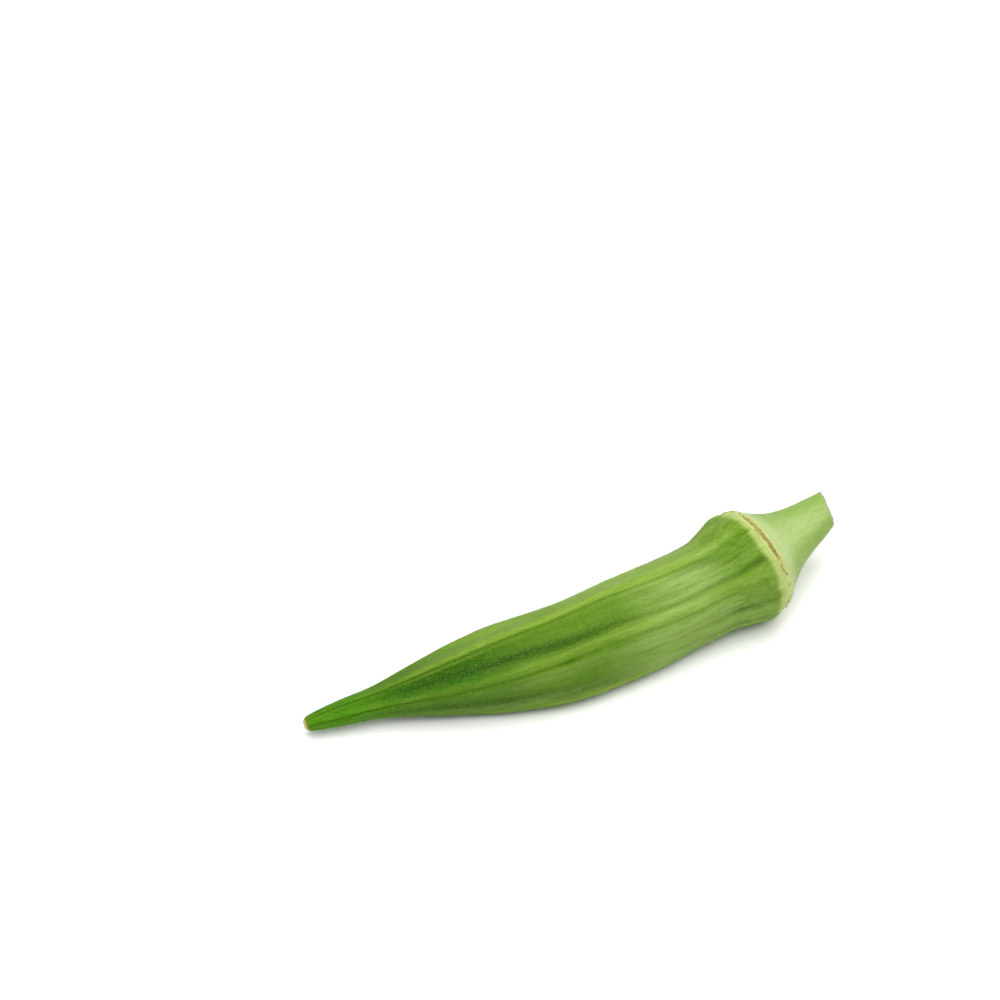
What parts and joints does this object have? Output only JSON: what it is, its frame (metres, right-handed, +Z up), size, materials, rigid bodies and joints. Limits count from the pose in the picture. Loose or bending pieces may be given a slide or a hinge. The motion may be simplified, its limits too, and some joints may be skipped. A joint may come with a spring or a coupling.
{
  "type": "okra pod",
  "caption": "Whole fresh okra pod lying on its side: ridged green capsule tapering to a blunt dry tip, with a pale cap and a short cut stalk.",
  "frame": {"origin": "on the surface the pod lies on, under the middle of its bounding box", "axes": "+X from the dry tip to the cut stalk, +Z up, -Y towards the side that the pod bends out to"},
  "size_m": [0.1038, 0.0211, 0.0201],
  "materials": {
    "pod_skin": "fresh green plant skin, velvety and slightly waxy",
    "dry_scar": "dry, corky and ragged",
    "cap_skin": "pale green plant skin, matt, with a fibrous cut end"
  },
  "bodies": {
    "root": {"pod": "pod_skin", "calyx_scar": "dry_scar", "cap_stem": "cap_skin"}
  },
  "joints": []
}
